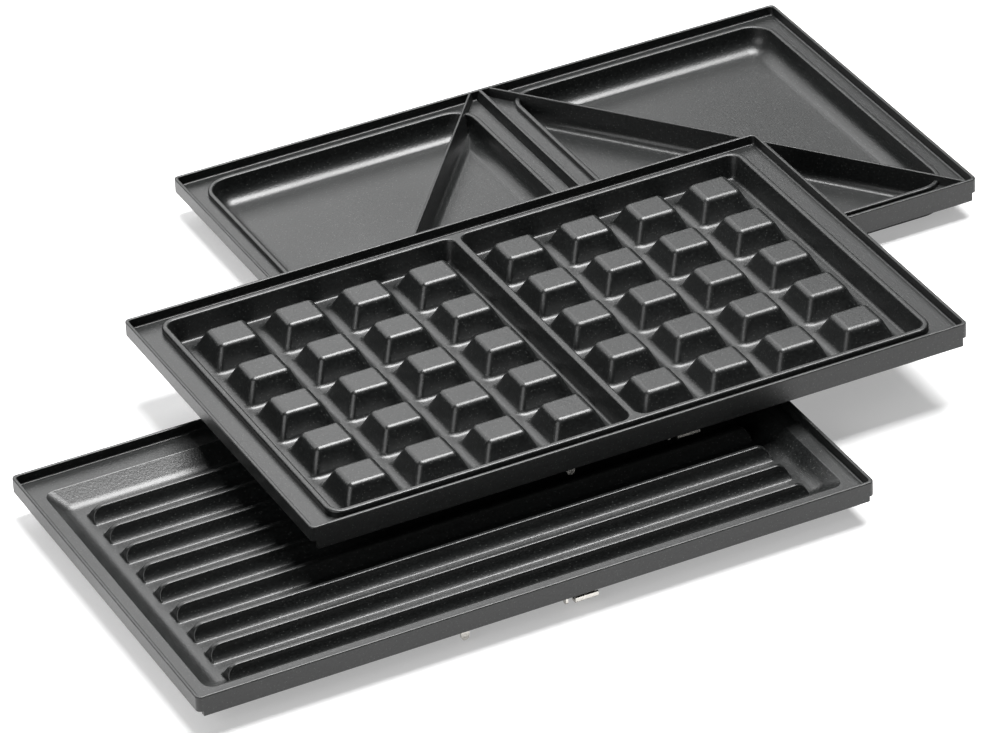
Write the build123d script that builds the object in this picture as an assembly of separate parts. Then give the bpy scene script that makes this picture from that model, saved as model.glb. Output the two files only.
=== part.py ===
from build123d import *
import os
from math import acos, atan, cos, degrees, radians, sin, tan

# Three interchangeable cooking plates of a countertop toaster, laid out as a fan: the sandwich plate
# behind, the grill plate in front and the waffle plate resting across the rims of both.
# All sizes are in millimetres. Each plate is drawn about its own centre with its rim top at height 0,
# the long side along X, and the front edge towards -Y.

# Plate outline, the same on all three
PLATE_LENGTH = 230.0
PLATE_WIDTH = 140.0
PLATE_CORNER_RADIUS = 1.8
LIP_THICKNESS = 1.2
LIP_HEIGHT = 3.3
LEDGE_THICKNESS = 1.8
LIP_ROUNDING = 0.4
LEDGE_FILLET = 0.7
WALL = 2.6

# Skirt under each long edge
SKIRT_THICKNESS = 1.6
SKIRT_DEPTH = 8.2
GRILL_SKIRT_DEPTH = 7.0
SKIRT_SETBACK = 1.9
SKIRT_ROUNDING = 0.3

# Seat that lies on the heating element, a grooved loop under the plate
SEAT_DEPTH = 14.0
SEAT_LOOP_LENGTH = 160.0
SEAT_LOOP_WIDTH = 76.0
SEAT_LOOP_RADIUS = 24.0
SEAT_BAND = 12.0
SEAT_GROOVE_WIDTH = 6.6
SEAT_GROOVE_DEPTH = 1.2

# Fan of plates
FAN_STEP = 60.0
GRILL_REACH = 45.5
LOWER_PLATE_GAP = 2.0

# Waffle plate
WAFFLE_END_MARGIN = 11.2
WAFFLE_SIDE_MARGIN = 7.0
WAFFLE_BEAD_DROP = 1.0
WAFFLE_BEAD_WIDTH = 2.0
WAFFLE_BEAD_ROUNDING = 0.8
WAFFLE_CAVITY_RADIUS = 3.6
WAFFLE_FLOOR_DEPTH = 8.8
WAFFLE_WALL_DRAFT = 15.0
WAFFLE_FLOOR_FILLET = 1.2
WAFFLE_DIVIDER_WIDTH = 2.4
STUD_COLUMNS = 4
STUD_ROWS = 5
STUD_TOP_DROP = 1.0
STUD_PITCH_X = 23.9
STUD_PITCH_Y = 23.5
STUD_VALLEY_X = 3.7
STUD_VALLEY_Y = 4.0
STUD_GRID_SHIFT = 1.0
STUD_SIDE_RUN_X = 3.6
STUD_SIDE_RUN_Y = 4.0
STUD_ROUNDING = 2.4
STUD_FOOT_FILLET = 2.7
STUD_ROOT = 0.6

# Sandwich plate
SANDWICH_END_MARGIN = 8.6
SANDWICH_SIDE_MARGIN = 7.2
SANDWICH_CENTRE_MARGIN = 9.0
SANDWICH_BEAD_DROP = 1.8
SANDWICH_BEAD_WIDTH = 1.7
SANDWICH_BEAD_ROUNDING = 0.6
SANDWICH_POCKET_RADIUS = 8.0
SANDWICH_FLOOR_DEPTH = 10.0
SANDWICH_WALL_DRAFT = 9.0
SANDWICH_FLOOR_FILLET = 6.4
CENTRE_RIDGE_CREST = 1.1
CENTRE_RIDGE_FOOT = 3.2
DIAGONAL_DROP = 0.2
DIAGONAL_BACK_SPREAD = 4.0
DIAGONAL_CORNER_MARGIN = 2.8
DIAGONAL_CREST = 0.8
DIAGONAL_DRAFT = 10.0
DIAGONAL_FOOT_FILLET = 3.5
RIDGE_ROOT = 1.0
CREST_ROUNDING = 0.3

# Grill plate
GRILL_END_MARGIN = 6.4
GRILL_FRONT_MARGIN = 7.6
GRILL_BACK_MARGIN = 10.0
GRILL_FLOOR_DEPTH = 7.6
GRILL_END_RUN = 4.9
GRILL_SIDE_RUN = 6.4
GRILL_RECESS_FILLET = 6.4
GRILL_EDGE_ROUNDING = 0.6
RIB_COUNT = 9
RIB_DROP = 3.0
RIB_CREST = 1.8
RIB_CREST_ROUNDING = 0.6
RIB_END_MARGIN = 15.8
RIB_FRONT_MARGIN = 15.2
RIB_BACK_MARGIN = 25.2
RIB_ROOT = 0.6
RIB_SCOOP_DIP = 0.6
RIB_TURN_RADIUS = 4.4
RIB_FOOT_FILLET = 0.8

# Steel tabs, riveted to bosses on the front and back of the casting
TAB_SHEET = 0.8
TAB_SEAT_INSET = 4.0
TAB_TOP_GAP = 0.4
TAB_CORNER = 0.8
TAB_BEND = 0.7
TAB_BASE_HEIGHT = 3.7
LATCH_X = 13.7
LATCH_WIDTH = 10.8
LATCH_HOOK_WIDTH = 7.8
LATCH_DEPTH = 10.4
LATCH_NOSE_INSET = 1.2
LATCH_NOSE_HEIGHT = 2.1
LATCH_CHEEK_INSET = 1.9
LATCH_RIVET_SPACING = 5.6
TONGUE_X = -25.2
TONGUE_BASE_WIDTH = 6.4
TONGUE_WIDTH = 2.8
TONGUE_DEPTH = 12.2
HOOK_SPREAD = 124.0
HOOK_WIDTH = 8.0
HOOK_DEPTH = 11.2
HOOK_INSET = 1.0
BOSS_SIDE_LAND = 0.8
BOSS_BASE_LAND = 0.5
BOSS_BACKING = 6.0

# Rivets
RIVET_RADIUS = 0.8
RIVET_CLEARANCE = 0.05
RIVET_HEAD_RADIUS = 1.3
RIVET_HEAD_HEIGHT = 0.6
RIVET_HEAD_ROUNDING = 0.4
RIVET_GRIP = 2.6
RIVET_HOLE_SPARE = 0.4

# Levels and places worked out from the sizes above
LEDGE_Z = -LIP_HEIGHT
FLANGE_Z = LEDGE_Z - LEDGE_THICKNESS
SEAT_Z = -SEAT_DEPTH
FRONT_Y = -PLATE_WIDTH / 2
CUT_SPARE = 1.0
TAB_TOP_Z = FLANGE_Z - TAB_TOP_GAP
RIVET_Z = TAB_TOP_Z - TAB_BASE_HEIGHT / 2


def slab(length, width, radius, bottom, top):
    """Upright block with rounded corners in plan."""
    return Pos(0, 0, bottom) * extrude(RectangleRounded(length, width, radius), top - bottom)


def block(x_span, y_span, z_span):
    """Plain box between two limits on each axis."""
    low = Vector(x_span[0], y_span[0], z_span[0])
    size = Vector(x_span[1], y_span[1], z_span[1]) - low
    corner = (Align.MIN, Align.MIN, Align.MIN)
    return Pos(low.X, low.Y, low.Z) * Box(size.X, size.Y, size.Z, align=corner)


def tapered(length, width, radius, top, bottom, inset):
    """Block with rounded corners whose four sides lean in by inset from its top to its bottom."""
    lean = degrees(atan(inset / (top - bottom)))
    return Pos(0, 0, top) * extrude(RectangleRounded(length, width, radius), bottom - top, taper=lean)


def level_edges(shape, height):
    """Edges of a shape that lie flat at one height."""
    return shape.edges().filter_by_position(Axis.Z, height - 0.001, height + 0.001)


def pocket_void(length, width, radius, rim, floor, draft, floor_fillet):
    """Hollow of a drafted pocket with a rounded floor, open above its rim."""
    inset = (rim - floor) * tan(radians(draft))
    hollow = tapered(length, width, radius, rim, floor, inset)
    hollow = fillet(level_edges(hollow, floor), min(floor_fillet, 0.97 * (radius - inset)))
    return hollow + slab(length, width, radius, rim, CUT_SPARE)


def seat_loop():
    """Grooved band under the plate that rests on the heating element."""
    outer = RectangleRounded(
        SEAT_LOOP_LENGTH + SEAT_BAND, SEAT_LOOP_WIDTH + SEAT_BAND, SEAT_LOOP_RADIUS + SEAT_BAND / 2
    )
    inner = RectangleRounded(
        SEAT_LOOP_LENGTH - SEAT_BAND, SEAT_LOOP_WIDTH - SEAT_BAND, SEAT_LOOP_RADIUS - SEAT_BAND / 2
    )
    half_groove = SEAT_GROOVE_WIDTH / 2
    groove_outer = RectangleRounded(
        SEAT_LOOP_LENGTH + SEAT_GROOVE_WIDTH,
        SEAT_LOOP_WIDTH + SEAT_GROOVE_WIDTH,
        SEAT_LOOP_RADIUS + half_groove,
    )
    groove_inner = RectangleRounded(
        SEAT_LOOP_LENGTH - SEAT_GROOVE_WIDTH,
        SEAT_LOOP_WIDTH - SEAT_GROOVE_WIDTH,
        SEAT_LOOP_RADIUS - half_groove,
    )
    band = extrude(outer - inner, LEDGE_Z - LEDGE_THICKNESS / 2 - SEAT_Z)
    groove = extrude(groove_outer - groove_inner, SEAT_GROOVE_DEPTH)
    return Pos(0, 0, SEAT_Z) * (band - groove)


def tab_places():
    """Each tab's centre along X, its base width and the side of the plate that it is on."""
    return [
        (LATCH_X, LATCH_WIDTH, 1),
        (TONGUE_X, TONGUE_BASE_WIDTH, 1),
        (-HOOK_SPREAD / 2, HOOK_WIDTH, -1),
        (HOOK_SPREAD / 2, HOOK_WIDTH, -1),
    ]


def turned(shape, side):
    """Shape drawn for the front edge, kept there or turned round to the back edge."""
    if side > 0:
        return shape
    return Rot(0, 0, 180) * shape


def tab_bosses():
    """Cast blocks that the steel tabs are riveted to."""
    bosses = []
    for centre, width, side in tab_places():
        half = width / 2 + BOSS_SIDE_LAND
        seat_y = FRONT_Y + TAB_SEAT_INSET
        bottom = TAB_TOP_Z - TAB_BASE_HEIGHT - BOSS_BASE_LAND
        top = LEDGE_Z - WALL / 2
        across = centre * side
        body = block((across - half, across + half), (seat_y, seat_y + BOSS_BACKING), (bottom, top))
        bosses.append(turned(body, side))
    return bosses


def rivet_places():
    """Rivet centres along X at the front and at the back of a plate."""
    front = [
        LATCH_X - LATCH_RIVET_SPACING / 2,
        LATCH_X + LATCH_RIVET_SPACING / 2,
        TONGUE_X,
    ]
    back = [-HOOK_SPREAD / 2, HOOK_SPREAD / 2]
    return {1: front, -1: back}


def rivet_hole(across, side):
    """Bore through a tab and into its boss."""
    depth = TAB_SHEET + RIVET_GRIP + RIVET_HOLE_SPARE
    radius = RIVET_RADIUS + RIVET_CLEARANCE
    bore = Cylinder(radius, depth, align=(Align.CENTER, Align.CENTER, Align.MIN))
    start = FRONT_Y + TAB_SEAT_INSET - TAB_SHEET
    return turned(Pos(across * side, start, RIVET_Z) * Rot(-90, 0, 0) * bore, side)


def rivet_holes():
    """Every rivet bore of a plate."""
    return [rivet_hole(across, side) for side, row in rivet_places().items() for across in row]


def rivet(across, side):
    """Domed rivet whose head clamps a tab to its boss."""
    head = Cylinder(
        RIVET_HEAD_RADIUS, RIVET_HEAD_HEIGHT, align=(Align.CENTER, Align.CENTER, Align.MAX)
    )
    head = fillet(level_edges(head, -RIVET_HEAD_HEIGHT), RIVET_HEAD_ROUNDING)
    shank = Cylinder(
        RIVET_RADIUS, TAB_SHEET + RIVET_GRIP, align=(Align.CENTER, Align.CENTER, Align.MIN)
    )
    start = FRONT_Y + TAB_SEAT_INSET - TAB_SHEET
    return turned(Pos(across * side, start, RIVET_Z) * Rot(-90, 0, 0) * (head + shank), side)


def rim(skirt_depth):
    """Upright lip, the ledge inside it and the skirts under the long edges."""
    tray_length = PLATE_LENGTH - 2 * LIP_THICKNESS
    tray_width = PLATE_WIDTH - 2 * LIP_THICKNESS
    inner_radius = max(PLATE_CORNER_RADIUS - LIP_THICKNESS, 0.0) + LEDGE_FILLET + 0.1
    frame = slab(PLATE_LENGTH, PLATE_WIDTH, PLATE_CORNER_RADIUS, FLANGE_Z, 0)
    tray = slab(tray_length, tray_width, inner_radius, LEDGE_Z, CUT_SPARE)
    tray = fillet(level_edges(tray, LEDGE_Z), LEDGE_FILLET)
    frame = frame - tray
    frame = fillet(level_edges(frame, 0), LIP_ROUNDING)
    reach = PLATE_LENGTH / 2 - SKIRT_SETBACK
    top = FLANGE_Z + LEDGE_THICKNESS / 2
    skirt = block((-reach, reach), (FRONT_Y, FRONT_Y + SKIRT_THICKNESS), (-skirt_depth, top))
    skirt = fillet(level_edges(skirt, -skirt_depth), SKIRT_ROUNDING)
    return frame + [skirt, turned(skirt, -1)]


def waffle_stud():
    """One blunt pyramid, with the filleted patch of floor that it stands on."""
    height = WAFFLE_FLOOR_DEPTH - STUD_TOP_DROP
    base_x = STUD_PITCH_X - STUD_VALLEY_X
    base_y = STUD_PITCH_Y - STUD_VALLEY_Y
    pyramid = Wedge(
        base_x,
        height,
        base_y,
        STUD_SIDE_RUN_X,
        STUD_SIDE_RUN_Y,
        base_x - STUD_SIDE_RUN_X,
        base_y - STUD_SIDE_RUN_Y,
        align=(Align.CENTER, Align.MIN, Align.CENTER),
    )
    pyramid = Rot(90, 0, 0) * pyramid
    rounded = [edge for edge in pyramid.edges() if edge.center().Z > STUD_ROOT]
    pyramid = fillet(rounded, STUD_ROUNDING)
    cell = Rectangle(STUD_PITCH_X, STUD_PITCH_Y)
    stud = pyramid + extrude(cell, -STUD_ROOT)
    foot = level_edges(stud, 0).filter_by(lambda edge: abs(edge.center().X) < 0.499 * STUD_PITCH_X)
    foot = foot.filter_by(lambda edge: abs(edge.center().Y) < 0.499 * STUD_PITCH_Y)
    return Pos(0, 0, -WAFFLE_FLOOR_DEPTH) * fillet(foot, STUD_FOOT_FILLET)


def waffle_casting():
    """Plate with two waffle cavities, each a grid of blunt pyramids."""
    bead_top = -WAFFLE_BEAD_DROP
    floor = -WAFFLE_FLOOR_DEPTH
    field_length = PLATE_LENGTH - 2 * WAFFLE_END_MARGIN
    field_width = PLATE_WIDTH - 2 * WAFFLE_SIDE_MARGIN
    half_length = (field_length - WAFFLE_DIVIDER_WIDTH) / 2
    half_x = (half_length + WAFFLE_DIVIDER_WIDTH) / 2
    lean = (bead_top - floor) * tan(radians(WAFFLE_WALL_DRAFT))

    pan = slab(
        field_length + 2 * WALL - lean,
        field_width + 2 * WALL - lean,
        WAFFLE_CAVITY_RADIUS + WALL,
        floor - WALL,
        LEDGE_Z,
    )
    bead = slab(
        field_length + 2 * WAFFLE_BEAD_WIDTH,
        field_width + 2 * WAFFLE_BEAD_WIDTH,
        WAFFLE_CAVITY_RADIUS + WAFFLE_BEAD_WIDTH,
        LEDGE_Z,
        bead_top,
    )
    void = pocket_void(
        half_length,
        field_width,
        WAFFLE_CAVITY_RADIUS,
        bead_top,
        floor,
        WAFFLE_WALL_DRAFT,
        WAFFLE_FLOOR_FILLET,
    )
    casting = rim(SKIRT_DEPTH) + [pan, bead, seat_loop(), *tab_bosses()]
    casting = casting - [Pos(-half_x, 0, 0) * void, Pos(half_x, 0, 0) * void]
    casting = fillet(level_edges(casting, bead_top), WAFFLE_BEAD_ROUNDING)

    stud = waffle_stud()
    grid_x = half_x - STUD_GRID_SHIFT
    studs = []
    for side in (-1, 1):
        for column in range(STUD_COLUMNS):
            for row in range(STUD_ROWS):
                x = side * grid_x + (column - (STUD_COLUMNS - 1) / 2) * STUD_PITCH_X
                y = (row - (STUD_ROWS - 1) / 2) * STUD_PITCH_Y
                studs.append(Pos(x, y, 0) * stud)
    return (casting + studs) - rivet_holes()


def ridge_profile(height_top, height_foot, crest, draft, foot_fillet):
    """Section across a tall thin ridge that flares into the floor."""
    half_crest = crest / 2
    half_foot = half_crest + (height_top - height_foot) * tan(radians(draft))
    flare = half_foot + 2 * foot_fillet
    outline = Polyline(
        (-flare, height_foot - RIDGE_ROOT),
        (-flare, height_foot),
        (-half_foot, height_foot),
        (-half_crest, height_top),
        (half_crest, height_top),
        (half_foot, height_foot),
        (flare, height_foot),
        (flare, height_foot - RIDGE_ROOT),
        close=True,
    )
    section = make_face(outline)
    feet = [v for v in section.vertices() if abs(abs(v.X) - half_foot) < 0.001]
    section = fillet(feet, foot_fillet)
    crests = [v for v in section.vertices() if abs(v.Y - height_top) < 0.001]
    return fillet(crests, min(CREST_ROUNDING, 0.4 * crest))


def diagonal_ridge(pan):
    """Thin wall across the right pocket, from beside the centre ridge to the front corner."""
    start = Vector(DIAGONAL_BACK_SPREAD, PLATE_WIDTH / 2 - LIP_THICKNESS, 0)
    end = Vector(PLATE_LENGTH / 2 - LIP_THICKNESS - DIAGONAL_CORNER_MARGIN, FRONT_Y + LIP_THICKNESS, 0)
    run = end - start
    section = ridge_profile(
        -DIAGONAL_DROP, -SANDWICH_FLOOR_DEPTH, DIAGONAL_CREST, DIAGONAL_DRAFT, DIAGONAL_FOOT_FILLET
    )
    overrun = 2 * LIP_THICKNESS
    direction = run.normalized()
    across = Vector(0, 0, 1).cross(direction)
    plane = Plane(origin=start - direction * overrun, x_dir=across, z_dir=direction)
    wall = extrude(plane * section, run.length + 2 * overrun)
    reach = PLATE_LENGTH / 2 - LIP_THICKNESS / 2
    depth = PLATE_WIDTH / 2 - LIP_THICKNESS / 2
    tray = block((0, reach), (-depth, depth), (LEDGE_Z - LEDGE_THICKNESS / 2, 0))
    return wall & (tray + pan)


def centre_ridge():
    """Upright ridge between the two halves, level with the lip."""
    outline = Polyline(
        (-CENTRE_RIDGE_FOOT / 2, LEDGE_Z - LEDGE_THICKNESS / 2),
        (-CENTRE_RIDGE_FOOT / 2, LEDGE_Z),
        (-CENTRE_RIDGE_CREST / 2, 0),
        (CENTRE_RIDGE_CREST / 2, 0),
        (CENTRE_RIDGE_FOOT / 2, LEDGE_Z),
        (CENTRE_RIDGE_FOOT / 2, LEDGE_Z - LEDGE_THICKNESS / 2),
        close=True,
    )
    section = make_face(outline)
    crests = [v for v in section.vertices() if abs(v.Y) < 0.001]
    section = fillet(crests, CREST_ROUNDING)
    length = PLATE_WIDTH - LIP_THICKNESS
    return Pos(0, length / 2, 0) * Rot(90, 0, 0) * extrude(section, length)


def sandwich_casting():
    """Plate with two pockets, each split corner to corner by a thin ridge."""
    bead_top = -SANDWICH_BEAD_DROP
    floor = -SANDWICH_FLOOR_DEPTH
    length = PLATE_LENGTH / 2 - SANDWICH_END_MARGIN - SANDWICH_CENTRE_MARGIN
    width = PLATE_WIDTH - 2 * SANDWICH_SIDE_MARGIN
    centre_x = SANDWICH_CENTRE_MARGIN + length / 2
    lean = (bead_top - floor) * tan(radians(SANDWICH_WALL_DRAFT))

    pan = tapered(
        length + 2 * WALL,
        width + 2 * WALL,
        SANDWICH_POCKET_RADIUS + WALL,
        LEDGE_Z,
        floor - WALL,
        lean,
    )
    bead = slab(
        length + 2 * SANDWICH_BEAD_WIDTH,
        width + 2 * SANDWICH_BEAD_WIDTH,
        SANDWICH_POCKET_RADIUS + SANDWICH_BEAD_WIDTH,
        LEDGE_Z,
        bead_top,
    )
    void = pocket_void(
        length,
        width,
        SANDWICH_POCKET_RADIUS,
        bead_top,
        floor,
        SANDWICH_WALL_DRAFT,
        SANDWICH_FLOOR_FILLET,
    )
    places = [Pos(-centre_x, 0, 0), Pos(centre_x, 0, 0)]
    casting = rim(SKIRT_DEPTH) + [place * solid for place in places for solid in (pan, bead)]
    casting = casting + [seat_loop(), *tab_bosses()]
    casting = casting - [place * void for place in places]
    casting = fillet(level_edges(casting, bead_top), SANDWICH_BEAD_ROUNDING)
    right = diagonal_ridge(places[1] * pan)
    left = mirror(right, about=Plane.YZ)
    return (casting + [right, left, centre_ridge()]) - rivet_holes()


def rib_section(pitch, height):
    """Section across one rib: a narrow crest whose scooped sides reach the floor at a low angle."""
    half_crest = RIB_CREST / 2
    span = pitch / 2 - half_crest
    rise = height + RIB_SCOOP_DIP
    scoop = (span**2 + rise**2) / (2 * rise)
    foot_angle = acos(1 - RIB_SCOOP_DIP / scoop)
    crest_angle = acos(1 - rise / scoop)
    middle_angle = (foot_angle + crest_angle) / 2
    foot = pitch / 2 - scoop * sin(foot_angle)
    root = foot + RIB_ROOT / tan(foot_angle)
    middle = (pitch / 2 - scoop * sin(middle_angle), scoop * (1 - cos(middle_angle)) - RIB_SCOOP_DIP)
    scooped = ThreePointArc((foot, 0), middle, (half_crest, height))
    side = Curve() + [Line((root, -RIB_ROOT), (foot, 0)), scooped]
    crest = Line((half_crest, height), (-half_crest, height))
    base = Line((-root, -RIB_ROOT), (root, -RIB_ROOT))
    return make_face(side + [crest, mirror(side, about=Plane.YZ), base])


def grill_rib(pitch, height):
    """One rib, turned down at its ends, with the filleted strip of floor that it stands on."""
    reach = PLATE_LENGTH / 2 - RIB_END_MARGIN
    bar = extrude(Plane.YZ * rib_section(pitch, height), reach, both=True)
    outline = Pos(0, (height - RIB_ROOT) / 2) * Rectangle(2 * reach, height + RIB_ROOT)
    upper = [v for v in outline.vertices() if v.Y > 0]
    outline = fillet(upper, RIB_TURN_RADIUS)
    bar = bar & extrude(Plane.XZ * outline, pitch, both=True)
    sides = [edge for edge in bar.edges() if abs(edge.center().Y) > 0.001]
    crests = [edge for edge in sides if edge.center().Z > height - 0.001]
    ends = [edge for edge in sides if abs(edge.center().X) > reach - RIB_TURN_RADIUS]
    bar = fillet(crests + ends, RIB_CREST_ROUNDING)
    strip = Rectangle(2 * reach + 4 * RIB_FOOT_FILLET, pitch)
    rib = bar + extrude(strip, -RIB_ROOT)
    foot = level_edges(rib, 0).filter_by(lambda edge: abs(edge.center().X) < reach + 0.001)
    foot = foot.filter_by(lambda edge: abs(edge.center().Y) < 0.499 * pitch)
    return fillet(foot, RIB_FOOT_FILLET)


def grill_ribs(floor):
    """Row of ribs along the recess."""
    pitch = (PLATE_WIDTH - RIB_FRONT_MARGIN - RIB_BACK_MARGIN) / (RIB_COUNT - 1)
    rib = grill_rib(pitch, -RIB_DROP - floor)
    front = FRONT_Y + RIB_FRONT_MARGIN
    return [Pos(0, front + index * pitch, floor) * rib for index in range(RIB_COUNT)]


def leaning_block(length, width, top, bottom):
    """Block as long and wide as given at its top, whose four sides lean in like the grill's recess."""
    block = Wedge(
        length,
        top - bottom,
        width,
        GRILL_END_RUN,
        GRILL_SIDE_RUN,
        length - GRILL_END_RUN,
        width - GRILL_SIDE_RUN,
        align=(Align.CENTER, Align.MIN, Align.CENTER),
    )
    return Pos(0, 0, top) * Rot(-90, 0, 0) * block


def grill_casting():
    """Plate with one wide recess and long ribs."""
    floor = -GRILL_FLOOR_DEPTH
    length = PLATE_LENGTH - 2 * GRILL_END_MARGIN
    width = PLATE_WIDTH - GRILL_FRONT_MARGIN - GRILL_BACK_MARGIN
    place = Pos(0, (GRILL_FRONT_MARGIN - GRILL_BACK_MARGIN) / 2, 0)
    pan = leaning_block(length + 2 * WALL, width + 2 * WALL, LEDGE_Z, floor - WALL)
    corners = [edge for edge in pan.edges() if floor - WALL + 0.001 < edge.center().Z < LEDGE_Z - 0.001]
    pan = fillet(corners, GRILL_RECESS_FILLET + WALL)
    void = leaning_block(length, width, LEDGE_Z, floor)
    below_mouth = [edge for edge in void.edges() if edge.center().Z < LEDGE_Z - 0.001]
    void = fillet(below_mouth, GRILL_RECESS_FILLET)
    mouth_length = length / 2 + 0.001
    mouth_width = PLATE_WIDTH / 2 - min(GRILL_FRONT_MARGIN, GRILL_BACK_MARGIN) + 0.001
    casting = rim(GRILL_SKIRT_DEPTH) + [place * pan, seat_loop(), *tab_bosses()]
    casting = casting - place * void
    mouth = level_edges(casting, LEDGE_Z)
    mouth = mouth.filter_by(lambda edge: abs(edge.center().X) < mouth_length)
    mouth = mouth.filter_by(lambda edge: abs(edge.center().Y) < mouth_width)
    casting = fillet(mouth, GRILL_EDGE_ROUNDING)
    return (casting + grill_ribs(floor)) - rivet_holes()


def tab_base(across, width, depth):
    """Flat sheet that lies on a boss, down to a given depth."""
    back = FRONT_Y + TAB_SEAT_INSET
    half = width / 2
    sheet = block((across - half, across + half), (back - TAB_SHEET, back), (-depth, TAB_TOP_Z))
    return fillet(sheet.edges().filter_by(Axis.Y), TAB_CORNER)


def latch_tab():
    """Wide front tab: a sheet with one bent cheek and a hooked nose that the housing's latch grips."""
    back = FRONT_Y + TAB_SEAT_INSET
    left = LATCH_X - LATCH_WIDTH / 2
    right = LATCH_X + LATCH_WIDTH / 2
    nose_y = FRONT_Y + LATCH_NOSE_INSET
    base_depth = -(TAB_TOP_Z - TAB_BASE_HEIGHT)
    plate = tab_base(LATCH_X, LATCH_WIDTH, base_depth)
    bottom = -LATCH_DEPTH
    path = Polyline(
        (back, TAB_TOP_Z - TAB_BASE_HEIGHT / 2),
        (back, bottom),
        (nose_y, bottom),
        (nose_y, bottom + LATCH_NOSE_HEIGHT),
        (nose_y + TAB_SHEET, bottom + LATCH_NOSE_HEIGHT),
        (nose_y + TAB_SHEET, bottom + TAB_SHEET),
        (back - TAB_SHEET, bottom + TAB_SHEET),
        (back - TAB_SHEET, TAB_TOP_Z - TAB_BASE_HEIGHT / 2),
        close=True,
    )
    section = make_face(path)
    bends = [v for v in section.vertices() if abs(v.Y - bottom) < 0.001]
    section = fillet(bends, TAB_BEND)
    tips = [v for v in section.vertices() if abs(v.Y - bottom - LATCH_NOSE_HEIGHT) < 0.001]
    section = fillet(tips, 0.4 * TAB_SHEET)
    hook = Pos(right - LATCH_HOOK_WIDTH, 0, 0) * extrude(Plane.YZ * section, LATCH_HOOK_WIDTH)
    cheek = block(
        (left, left + TAB_SHEET), (FRONT_Y + LATCH_CHEEK_INSET, back), (bottom, TAB_TOP_Z - TAB_CORNER)
    )
    cheek = fillet(cheek.edges().filter_by(Axis.X).sort_by(Axis.Z)[0:2], TAB_CORNER)
    tab = plate + [hook, cheek]
    return tab - rivet_holes()


def locating_tab():
    """Narrow front tongue with a round end."""
    base_depth = -(TAB_TOP_Z - TAB_BASE_HEIGHT)
    back = FRONT_Y + TAB_SEAT_INSET
    half = TONGUE_WIDTH / 2
    base = tab_base(TONGUE_X, TONGUE_BASE_WIDTH, base_depth)
    top = TAB_TOP_Z - TAB_CORNER
    tongue = block((TONGUE_X - half, TONGUE_X + half), (back - TAB_SHEET, back), (-TONGUE_DEPTH, top))
    tongue = fillet(tongue.edges().filter_by(Axis.Y).sort_by(Axis.Z)[0:2], 0.98 * half)
    return (base + tongue) - rivet_holes()


def rear_hook(across):
    """Back tab, bent outwards at its foot to slip under the housing's edge."""
    back = FRONT_Y + TAB_SEAT_INSET
    base_depth = -(TAB_TOP_Z - TAB_BASE_HEIGHT)
    base = tab_base(-across, HOOK_WIDTH, base_depth)
    bottom = -HOOK_DEPTH
    half = HOOK_WIDTH / 2 - TAB_CORNER
    path = Polyline(
        (back, TAB_TOP_Z - TAB_BASE_HEIGHT / 2),
        (back, bottom),
        (FRONT_Y + HOOK_INSET, bottom),
        (FRONT_Y + HOOK_INSET, bottom + TAB_SHEET),
        (back - TAB_SHEET, bottom + TAB_SHEET),
        (back - TAB_SHEET, TAB_TOP_Z - TAB_BASE_HEIGHT / 2),
        close=True,
    )
    section = make_face(path)
    outer = [v for v in section.vertices() if abs(v.Y - bottom) < 0.001]
    bend = [v for v in outer if abs(v.X - back) < 0.001]
    section = fillet(bend, TAB_BEND)
    foot = Pos(-across - half, 0, 0) * extrude(Plane.YZ * section, 2 * half)
    return turned(base + foot, -1) - rivet_holes()


def plate_pieces(name, casting):
    """All pieces of one plate, by node name."""
    rows = rivet_places()
    return {
        f"{name}_plate": casting,
        f"{name}_latch_tab": latch_tab(),
        f"{name}_locating_tab": locating_tab(),
        f"{name}_hook_left": rear_hook(-HOOK_SPREAD / 2),
        f"{name}_hook_right": rear_hook(HOOK_SPREAD / 2),
        f"{name}_front_rivets": Compound(children=[rivet(across, 1) for across in rows[1]]),
        f"{name}_rear_rivets": Compound(children=[rivet(across, -1) for across in rows[-1]]),
    }


def plate_places():
    """Where each plate's centre and rim top stand, with the whole fan centred on the origin."""
    grill_y = -GRILL_REACH
    sandwich_y = grill_y + PLATE_WIDTH + LOWER_PLATE_GAP
    middle_y = (grill_y + sandwich_y) / 2
    return {
        "grill": Pos(-FAN_STEP, grill_y - middle_y, SEAT_DEPTH),
        "sandwich": Pos(FAN_STEP, sandwich_y - middle_y, SEAT_DEPTH),
        "waffle": Pos(0, -middle_y, 2 * SEAT_DEPTH),
    }


def main():
    """Write one file for each piece."""
    os.makedirs("parts", exist_ok=True)
    castings = {"grill": grill_casting(), "sandwich": sandwich_casting(), "waffle": waffle_casting()}
    for name, place in plate_places().items():
        for node, piece in plate_pieces(name, castings[name]).items():
            export_step(place * piece, f"parts/{node}.step")


main()
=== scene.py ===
"""Three interchangeable toaster plates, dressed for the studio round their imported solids."""

import logging
import math
from dataclasses import dataclass, field
from enum import Enum
from typing import Optional

import bpy
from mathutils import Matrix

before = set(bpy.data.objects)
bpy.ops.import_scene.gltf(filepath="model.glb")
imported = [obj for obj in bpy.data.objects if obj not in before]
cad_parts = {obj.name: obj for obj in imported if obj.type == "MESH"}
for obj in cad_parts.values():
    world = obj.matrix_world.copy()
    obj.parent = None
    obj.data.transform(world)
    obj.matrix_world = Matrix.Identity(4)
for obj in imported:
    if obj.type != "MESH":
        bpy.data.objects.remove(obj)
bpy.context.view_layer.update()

LOG = logging.getLogger("plates")

Colour = tuple[float, float, float]
Place = tuple[float, float, float]
WHITE: Colour = (1.0, 1.0, 1.0)


class PlateKind(Enum):
    """The three plates of the set, named as their nodes are."""

    GRILL = "grill"
    SANDWICH = "sandwich"
    WAFFLE = "waffle"


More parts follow.
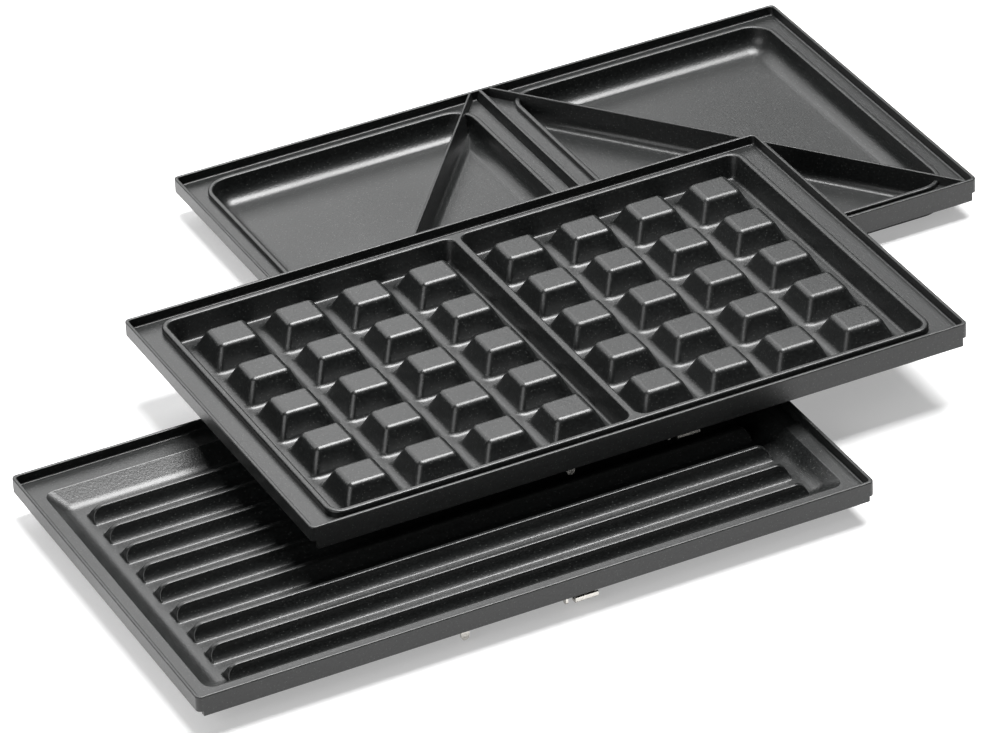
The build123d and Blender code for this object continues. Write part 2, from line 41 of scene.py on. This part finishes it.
class NodeSheet:
    """Small helper that lays out the nodes of one material."""

    def __init__(self, name: str) -> None:
        """Start an empty material.

        Args:
            name: The material's name.
        """
        self.material = bpy.data.materials.new(name)
        self.material.use_nodes = True
        self.tree = self.material.node_tree
        self.tree.nodes.clear()
        self.output = self.tree.nodes.new("ShaderNodeOutputMaterial")
        self.shader = self.tree.nodes.new("ShaderNodeBsdfPrincipled")
        self.tree.links.new(self.shader.outputs["BSDF"], self.output.inputs["Surface"])
        self.coords = self.tree.nodes.new("ShaderNodeTexCoord")

    def join(self, source: bpy.types.NodeSocket, target: bpy.types.NodeSocket) -> None:
        """Link two sockets."""
        self.tree.links.new(source, target)

    def place(self, scale: Place) -> bpy.types.NodeSocket:
        """Stretch the object's own coordinates.

        Args:
            scale: Repeats per metre along each axis.

        Returns:
            The vector socket.
        """
        mapping = self.tree.nodes.new("ShaderNodeMapping")
        mapping.inputs["Scale"].default_value = scale
        self.join(self.coords.outputs["Object"], mapping.inputs["Vector"])
        return mapping.outputs["Vector"]

    def noise(
        self, vector: bpy.types.NodeSocket, detail: float, rough: float = 0.5
    ) -> bpy.types.NodeSocket:
        """Soft noise at a vector's own scale.

        Args:
            vector: Where the noise is read.
            detail: Number of finer layers.
            rough: Weight of the finer layers.

        Returns:
            The factor socket.
        """
        node = self.tree.nodes.new("ShaderNodeTexNoise")
        node.inputs["Scale"].default_value = 1.0
        node.inputs["Detail"].default_value = detail
        node.inputs["Roughness"].default_value = rough
        self.join(vector, node.inputs["Vector"])
        return node.outputs["Fac"]

    def grains(self, vector: bpy.types.NodeSocket) -> bpy.types.NodeSocket:
        """Distance to the nearest grain of a scattered field.

        Args:
            vector: Where the grains are read.

        Returns:
            The distance socket.
        """
        node = self.tree.nodes.new("ShaderNodeTexVoronoi")
        node.inputs["Scale"].default_value = 1.0
        self.join(vector, node.inputs["Vector"])
        return node.outputs["Distance"]

    def spread(
        self,
        value: bpy.types.NodeSocket,
        low: float,
        high: float,
        to_low: float,
        to_high: float,
    ) -> bpy.types.NodeSocket:
        """Map one range of values to another, clamped.

        Args:
            value: The value to map.
            low: Value that becomes to_low.
            high: Value that becomes to_high.
            to_low: Result at low.
            to_high: Result at high.

        Returns:
            The result socket.
        """
        node = self.tree.nodes.new("ShaderNodeMapRange")
        node.inputs["From Min"].default_value = low
        node.inputs["From Max"].default_value = high
        node.inputs["To Min"].default_value = to_low
        node.inputs["To Max"].default_value = to_high
        self.join(value, node.inputs["Value"])
        return node.outputs["Result"]

    def either(
        self, first: bpy.types.NodeSocket, second: bpy.types.NodeSocket
    ) -> bpy.types.NodeSocket:
        """Larger of two values, which is 1 where either of two flags is.

        Args:
            first: The first value.
            second: The second value.

        Returns:
            The value socket.
        """
        node = self.tree.nodes.new("ShaderNodeMath")
        node.operation = "MAXIMUM"
        self.join(first, node.inputs[0])
        self.join(second, node.inputs[1])
        return node.outputs["Value"]

    def blend(
        self, share: bpy.types.NodeSocket, first: Colour, second: Colour
    ) -> bpy.types.NodeSocket:
        """Blend two colours by a value.

        Args:
            share: 0 for the first colour, 1 for the second.
            first: The first colour, linear.
            second: The second colour, linear.

        Returns:
            The colour socket.
        """
        node = self.tree.nodes.new("ShaderNodeMix")
        node.data_type = "RGBA"
        node.inputs["A"].default_value = (*first, 1.0)
        node.inputs["B"].default_value = (*second, 1.0)
        self.join(share, node.inputs["Factor"])
        return node.outputs["Result"]

    def overlay(
        self, share: bpy.types.NodeSocket, under: bpy.types.NodeSocket, over: Colour
    ) -> bpy.types.NodeSocket:
        """Lay a colour over another by a value.

        Args:
            share: 0 shows what lies under, 1 the colour over it.
            under: The colour below.
            over: The colour on top, linear.

        Returns:
            The colour socket.
        """
        node = self.tree.nodes.new("ShaderNodeMix")
        node.data_type = "RGBA"
        node.inputs["B"].default_value = (*over, 1.0)
        self.join(share, node.inputs["Factor"])
        self.join(under, node.inputs["A"])
        return node.outputs["Result"]

    def bump(
        self,
        height: bpy.types.NodeSocket,
        depth: float,
        strength: float,
        under: Optional[bpy.types.NodeSocket] = None,
    ) -> bpy.types.NodeSocket:
        """Turn a height into a bumped normal.

        Args:
            height: The height, 0 to 1.
            depth: What a height of 1 is, in metres.
            strength: Share of the bump that shows.
            under: A coarser bumped normal that this one lies on.

        Returns:
            The normal socket.
        """
        node = self.tree.nodes.new("ShaderNodeBump")
        node.inputs["Strength"].default_value = strength
        node.inputs["Distance"].default_value = depth
        self.join(height, node.inputs["Height"])
        if under is not None:
            self.join(under, node.inputs["Normal"])
        return node.outputs["Normal"]


@dataclass(frozen=True)
class NonStickCoating:
    """Charcoal non-stick coating sprayed on a cast aluminium plate."""

    name: str = "charcoal_coating"
    dark: Colour = (0.0025, 0.0028, 0.0028)
    light: Colour = (0.010, 0.0112, 0.011)
    fleck: Colour = (0.045, 0.047, 0.045)
    smooth: float = 0.32
    rough: float = 0.41
    speckle_size: float = 0.0008
    speckle_depth: float = 0.00007
    speckle_show: float = 0.8
    speckle_range: tuple[float, float] = (0.40, 0.72)
    fleck_size: float = 0.0011
    fleck_reach: float = 0.20
    fleck_core: float = 0.12
    peel_size: float = 0.0034
    peel_depth: float = 0.00002
    peel_show: float = 0.6
    mottle_repeats: float = 14.0
    mottle_range: tuple[float, float] = (0.3, 0.7)

    def material(self) -> bpy.types.Material:
        """Build the coating's material.

        Returns:
            The material.
        """
        sheet = NodeSheet(self.name)
        speckle = sheet.noise(sheet.place((1.0 / self.speckle_size,) * 3), 3.0, 0.6)
        peel = sheet.noise(sheet.place((1.0 / self.peel_size,) * 3), 1.0)
        mottle = sheet.noise(sheet.place((self.mottle_repeats,) * 3), 2.0)
        mica = sheet.grains(sheet.place((1.0 / self.fleck_size,) * 3))

        share = sheet.spread(speckle, *self.speckle_range, 0.0, 1.0)
        tone = sheet.blend(share, self.dark, self.light)
        glint = sheet.spread(mica, self.fleck_core, self.fleck_reach, 1.0, 0.0)
        sheet.join(sheet.overlay(glint, tone, self.fleck), sheet.shader.inputs["Base Color"])

        gloss = sheet.spread(mottle, *self.mottle_range, self.smooth, self.rough)
        sheet.join(gloss, sheet.shader.inputs["Roughness"])

        ripple = sheet.bump(peel, self.peel_depth, self.peel_show)
        grain = sheet.bump(speckle, self.speckle_depth, self.speckle_show, ripple)
        sheet.join(grain, sheet.shader.inputs["Normal"])
        return sheet.material


@dataclass(frozen=True)
class RolledSteel:
    """Bright stainless strip, drawn along one axis."""

    name: str
    tint: Colour = (0.62, 0.60, 0.56)
    shade: Colour = (0.50, 0.48, 0.45)
    smooth: float = 0.20
    rough: float = 0.34
    streaks: Place = (300.0, 300.0, 9000.0)
    streak_range: tuple[float, float] = (0.3, 0.7)
    streak_depth: float = 0.00001
    streak_show: float = 0.4
    smudge_repeats: float = 180.0

    def material(self) -> bpy.types.Material:
        """Build the steel's material.

        Returns:
            The material.
        """
        sheet = NodeSheet(self.name)
        sheet.shader.inputs["Metallic"].default_value = 1.0
        line = sheet.noise(sheet.place(self.streaks), 3.0)
        smudge = sheet.noise(sheet.place((self.smudge_repeats,) * 3), 2.0)
        sheet.join(sheet.blend(smudge, self.tint, self.shade), sheet.shader.inputs["Base Color"])
        gloss = sheet.spread(line, *self.streak_range, self.smooth, self.rough)
        sheet.join(gloss, sheet.shader.inputs["Roughness"])
        brushed = sheet.bump(line, self.streak_depth, self.streak_show)
        sheet.join(brushed, sheet.shader.inputs["Normal"])
        return sheet.material


@dataclass
class CookingPlate:
    """One plate: the coated casting with its steel tabs and rivets."""

    kind: PlateKind
    coating: NonStickCoating
    tab_steel: bpy.types.Material
    rivet_steel: bpy.types.Material
    weld_gap: float = 2.0e-6
    crease_angle: float = math.radians(28.0)
    normal_weight: int = 90
    tabs: tuple[str, ...] = ("latch_tab", "locating_tab", "hook_left", "hook_right")
    rivets: tuple[str, ...] = ("front_rivets", "rear_rivets")

    def node(self, part: str) -> bpy.types.Object:
        """The frame's object for one piece of this plate."""
        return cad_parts[f"{self.kind.value}_{part}"]

    def finish_surface(self, piece: bpy.types.Object) -> None:
        """Join a solid's loose facets so that its rounded faces shade smoothly.

        Args:
            piece: The frame's object.
        """
        for face in piece.data.polygons:
            face.use_smooth = True
        weld = piece.modifiers.new("join_facets", "WELD")
        weld.merge_threshold = self.weld_gap
        crease = piece.modifiers.new("keep_creases", "EDGE_SPLIT")
        crease.split_angle = self.crease_angle
        even = piece.modifiers.new("even_normals", "WEIGHTED_NORMAL")
        even.weight = self.normal_weight
        even.keep_sharp = True

    def dress(self, piece: bpy.types.Object, finish: bpy.types.Material) -> None:
        """Give one solid its finish.

        Args:
            piece: The frame's object.
            finish: Its material.
        """
        piece.data.materials.clear()
        piece.data.materials.append(finish)
        self.finish_surface(piece)
        LOG.info("%s wears %s", piece.name, finish.name)

    def build(self) -> None:
        """Dress every piece of the plate."""
        self.dress(self.node("plate"), self.coating.material())
        for part in self.tabs:
            self.dress(self.node(part), self.tab_steel)
        for part in self.rivets:
            self.dress(self.node(part), self.rivet_steel)


@dataclass
class StudioFloor:
    """Plain ground, pale where it is seen or mirrored and greyer in the light it throws back."""

    half_size: float = 6.0
    thrown_colour: Colour = (0.34, 0.34, 0.34)
    seen_colour: Colour = (0.62, 0.62, 0.62)
    seen_lift: float = 0.36
    roughness: float = 0.55
    specular: float = 0.3

    def build(self) -> bpy.types.Object:
        """Lay the floor.

        Returns:
            The floor.
        """
        bpy.ops.object.select_all(action="DESELECT")
        bpy.ops.mesh.primitive_plane_add(size=2.0 * self.half_size, location=(0.0, 0.0, 0.0))
        floor = bpy.context.active_object
        floor.name = "studio_floor"
        sheet = NodeSheet("pale_floor")
        sheet.shader.inputs["Roughness"].default_value = self.roughness
        sheet.shader.inputs["Specular IOR Level"].default_value = self.specular
        sheet.shader.inputs["Emission Color"].default_value = (*WHITE, 1.0)
        rays = sheet.tree.nodes.new("ShaderNodeLightPath").outputs
        mirrored = sheet.either(rays["Is Glossy Ray"], rays["Is Transmission Ray"])
        seen = sheet.either(rays["Is Camera Ray"], mirrored)
        tone = sheet.blend(seen, self.thrown_colour, self.seen_colour)
        sheet.join(tone, sheet.shader.inputs["Base Color"])
        lift = sheet.spread(seen, 0.0, 1.0, 0.0, self.seen_lift)
        sheet.join(lift, sheet.shader.inputs["Emission Strength"])
        floor.data.materials.append(sheet.material)
        return floor


@dataclass(frozen=True)
class SoftBox:
    """One rectangular studio lamp aimed at the plates."""

    name: str
    place: Place
    size: tuple[float, float]
    power: float
    colour: Colour = WHITE
    aim: Place = (0.0, 0.0, 0.015)

    def build(self) -> bpy.types.Object:
        """Hang the lamp.

        Returns:
            The lamp.
        """
        light = bpy.data.lights.new(self.name, "AREA")
        light.shape = "RECTANGLE"
        light.size, light.size_y = self.size
        light.energy = self.power
        light.color = self.colour
        lamp = bpy.data.objects.new(self.name, light)
        bpy.context.scene.collection.objects.link(lamp)
        lamp.location = self.place
        towards = [a - b for a, b in zip(self.aim, self.place)]
        flat = math.hypot(towards[0], towards[1])
        lamp.rotation_euler = (
            math.atan2(flat, -towards[2]),
            0.0,
            math.atan2(-towards[0], towards[1]),
        )
        return lamp


@dataclass(frozen=True)
class PhotoCamera:
    """Camera at the photograph's own viewing angle."""

    place: Place = (-0.75467, -1.58740, 1.09857)
    turn_degrees: Place = (57.9010, 2.4988, -26.8775)
    lens: float = 231.114
    sensor: float = 36.0
    far_clip: float = 50.0

    def build(self) -> bpy.types.Object:
        """Set up the camera.

        Returns:
            The camera.
        """
        data = bpy.data.cameras.new("photo_camera")
        data.lens = self.lens
        data.sensor_width = self.sensor
        data.clip_end = self.far_clip
        camera = bpy.data.objects.new("photo_camera", data)
        bpy.context.scene.collection.objects.link(camera)
        camera.location = self.place
        camera.rotation_euler = [math.radians(turn) for turn in self.turn_degrees]
        bpy.context.scene.camera = camera
        return camera


@dataclass
class Studio:
    """Floor, lamps, surroundings and camera."""

    floor: StudioFloor = field(default_factory=StudioFloor)
    camera: PhotoCamera = field(default_factory=PhotoCamera)
    surround: Colour = (0.03, 0.03, 0.03)
    lamps: tuple[SoftBox, ...] = (
        SoftBox("back_top_box", (-0.10, 1.60, 1.20), (2.2, 1.1), 25.0),
        SoftBox("overhead_box", (0.44, 0.32, 1.75), (1.2, 0.9), 100.0, aim=(0.44, 0.32, 0.0)),
        SoftBox("left_box", (-1.85, -0.89, 0.98), (1.5, 1.5), 26.0),
    )

    def surroundings(self) -> None:
        """Colour the world a plain dim grey."""
        world = bpy.data.worlds.new("studio_surround")
        world.use_nodes = True
        nodes, links = world.node_tree.nodes, world.node_tree.links
        nodes.clear()
        output = nodes.new("ShaderNodeOutputWorld")
        grey = nodes.new("ShaderNodeBackground")
        grey.inputs["Color"].default_value = (*self.surround, 1.0)
        links.new(grey.outputs["Background"], output.inputs["Surface"])
        bpy.context.scene.world = world

    def build(self) -> None:
        """Set up the whole studio."""
        self.floor.build()
        for lamp in self.lamps:
            lamp.build()
        self.surroundings()
        self.camera.build()
        bpy.context.scene.view_settings.view_transform = "Standard"
        LOG.info("studio ready")


def main() -> None:
    """Dress the plates, set up the studio and report."""
    logging.basicConfig(level=logging.INFO, format="%(name)s: %(message)s")
    tab_steel = RolledSteel("tab_steel").material()
    rivet_steel = RolledSteel("rivet_steel", smooth=0.26, rough=0.36).material()
    for kind in PlateKind:
        coating = NonStickCoating(name=f"{kind.value}_coating")
        CookingPlate(kind, coating, tab_steel, rivet_steel).build()
    Studio().build()


if __name__ == "__main__":
    main()
